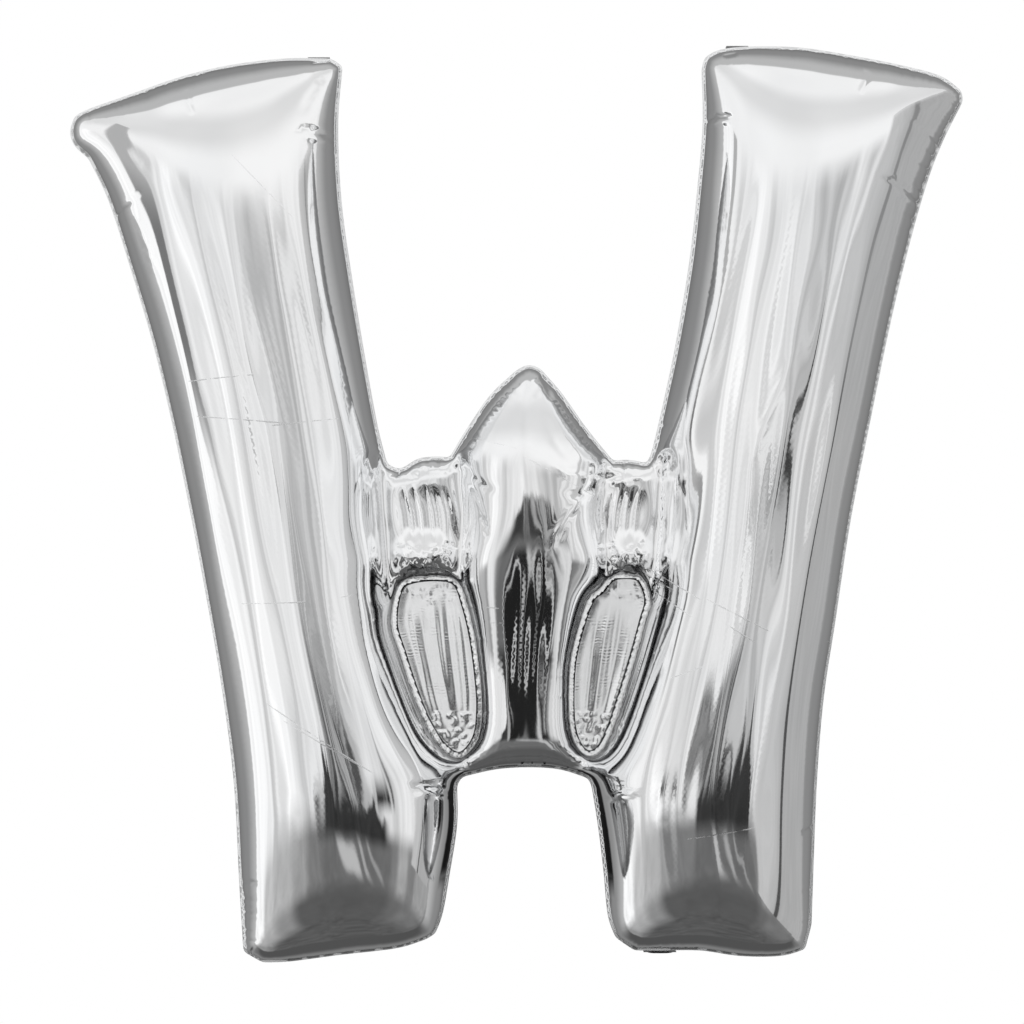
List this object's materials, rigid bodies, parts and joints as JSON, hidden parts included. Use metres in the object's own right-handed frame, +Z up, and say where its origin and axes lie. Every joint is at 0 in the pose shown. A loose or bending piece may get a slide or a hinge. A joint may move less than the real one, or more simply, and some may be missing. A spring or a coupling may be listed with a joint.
{
  "type": "letter foil balloon",
  "caption": "Inflated letter W balloon of mirror-silver film, with a sealed edge, pleated windows, folding hang tabs and a folding filler tail.",
  "frame": {"origin": "middle of the letter's width and height, in the plane of the seam, where the balloon floats", "axes": "+X to the letter's right as read from the front, +Y from the front film to the back film, +Z up the letter"},
  "size_m": [0.8186, 0.1856, 0.8409],
  "materials": {
    "silver_film": "mirror-bright metallised film, lightly wrinkled",
    "sealed_edge": "heat-sealed metallised film, puckered and duller",
    "valve_film": "thin milky valve film"
  },
  "bodies": {
    "envelope": {"front_film": "silver_film", "back_film": "silver_film", "outer_seal": "sealed_edge", "left_window_seal": "sealed_edge", "right_window_seal": "sealed_edge", "left_web": "silver_film", "right_web": "silver_film"},
    "left_tab": {"left_hang_tab": "sealed_edge"},
    "right_tab": {"right_hang_tab": "sealed_edge"},
    "tail": {"filler_tail": "silver_film", "valve_sleeve": "valve_film"}
  },
  "joints": [
    {"name": "left_tab_fold", "type": "hinge", "parent": "envelope", "child": "left_tab", "pos_m": [-0.181, 0, 0.41009], "axis": [1, 0, 0], "range_deg": [0, 180]},
    {"name": "right_tab_fold", "type": "hinge", "parent": "envelope", "child": "right_tab", "pos_m": [0.203, 0, 0.42051], "axis": [1, 0, 0], "range_deg": [0, 180]},
    {"name": "tail_fold", "type": "hinge", "parent": "envelope", "child": "tail", "pos_m": [0.132, 0, -0.4105], "axis": [-1, 0, 0], "range_deg": [0, 180]}
  ]
}
